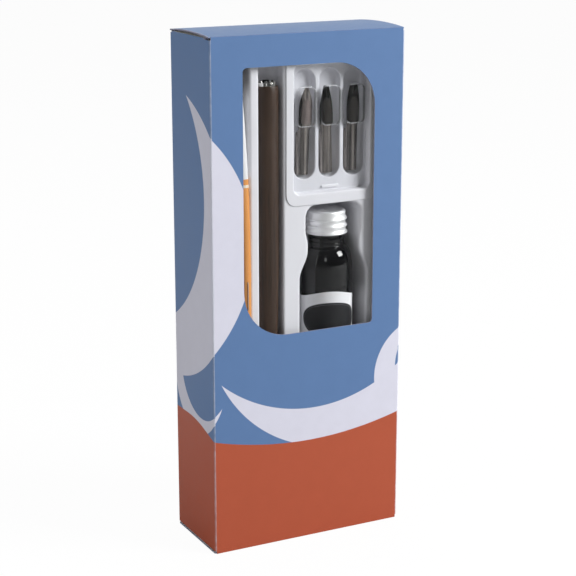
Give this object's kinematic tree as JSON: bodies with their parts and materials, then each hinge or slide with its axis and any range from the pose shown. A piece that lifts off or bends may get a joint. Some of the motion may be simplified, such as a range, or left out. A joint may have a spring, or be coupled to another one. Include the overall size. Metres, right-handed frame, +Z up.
{
  "type": "calligraphy set box",
  "caption": "Upright folding carton with a clear window, holding a tray with pen holder, nibs under a clear cover and a capped ink bottle, and a booklet.",
  "frame": {"origin": "centre of the carton's base, on the surface it stands on", "axes": "+Z up, -Y out of the front panel with the window, +X to the right as seen from the front"},
  "size_m": [0.09, 0.039, 0.2209],
  "materials": {
    "printed_board": "coated print, satin",
    "plain_board": "uncoated white board",
    "clear_film": "clear film, glossy",
    "white_tray_plastic": "flocked-smooth white sheet, satin",
    "clear_cover_plastic": "clear formed sheet, glossy",
    "nib_steel": "dark bronzed steel",
    "reservoir_brass": "dark toned brass",
    "dark_wood": "dark stained and waxed",
    "ferrule_metal": "plated, bright",
    "clamp_steel": "spring steel",
    "bottle_glass": "glossy, almost black",
    "black_ink": "liquid black",
    "label_paper": "black print with a silver grey border",
    "cap_aluminium": "rolled, satin bright",
    "liner_foam": "foam wad",
    "booklet_cover_paper": "printed cover",
    "booklet_page_paper": "uncoated",
    "staple_wire": "bright wire"
  },
  "bodies": {
    "carton": {"front_panel": "printed_board", "back_panel": "printed_board", "left_side_panel": "printed_board", "right_side_panel": "printed_board", "glue_flap": "plain_board", "bottom_outer_flap": "printed_board", "bottom_inner_flap": "plain_board", "bottom_dust_flap_left": "plain_board", "bottom_dust_flap_right": "plain_board", "window_film": "clear_film", "tray": "white_tray_plastic", "nib_tray": "white_tray_plastic", "nib_cover": "clear_cover_plastic", "nib_narrow": "nib_steel", "nib_medium": "nib_steel", "nib_wide": "nib_steel", "nib_reservoir_narrow": "reservoir_brass", "nib_reservoir_medium": "reservoir_brass", "nib_reservoir_wide": "reservoir_brass", "pen_shaft": "dark_wood", "pen_ferrule": "ferrule_metal", "nib_clamp": "clamp_steel", "bottle_glass": "bottle_glass", "ink": "black_ink", "bottle_label": "label_paper", "booklet_cover": "booklet_cover_paper", "booklet_pages": "booklet_page_paper", "booklet_staples": "staple_wire"},
    "lid": {"lid_panel": "printed_board"},
    "tuck_tab": {"lid_tuck_tab": "printed_board"},
    "left_dust_flap": {"top_dust_flap_left": "plain_board"},
    "right_dust_flap": {"top_dust_flap_right": "plain_board"},
    "liner": {"cap_liner": "liner_foam"},
    "cap": {"screw_cap": "cap_aluminium"}
  },
  "joints": [
    {"name": "lid_hinge", "type": "hinge", "parent": "carton", "child": "lid", "pos_m": [0, 0.0195, 0.2194], "axis": [-1, 0, 0], "range_deg": [0, 180]},
    {"name": "tuck_tab_crease", "type": "hinge", "parent": "lid", "child": "tuck_tab", "pos_m": [0, -0.0188, 0.2194], "axis": [-1, 0, 0], "range_deg": [0, 27]},
    {"name": "left_dust_flap_crease", "type": "hinge", "parent": "carton", "child": "left_dust_flap", "pos_m": [-0.045, 0, 0.2187], "axis": [0, -1, 0], "range_deg": [0, 90]},
    {"name": "right_dust_flap_crease", "type": "hinge", "parent": "carton", "child": "right_dust_flap", "pos_m": [0.045, 0, 0.2187], "axis": [0, 1, 0], "range_deg": [0, 90]},
    {"name": "cap_lift", "type": "slide", "parent": "carton", "child": "liner", "axis": [0, 0, 1], "range_m": [0, 0.0032]},
    {"name": "cap_turn", "type": "hinge", "parent": "liner", "child": "cap", "pos_m": [0.0149, -0.00685, 0.1431], "axis": [0, 0, 1], "range_deg": [0, 360]}
  ],
  "couplings": [
    {"joint": "tuck_tab_crease", "follows": "lid_hinge", "ratio": 0.15},
    {"joint": "left_dust_flap_crease", "follows": "lid_hinge", "ratio": 0.5},
    {"joint": "right_dust_flap_crease", "follows": "lid_hinge", "ratio": 0.5},
    {"joint": "cap_lift", "follows": "cap_turn", "m_per_rad": 0.00050929}
  ]
}
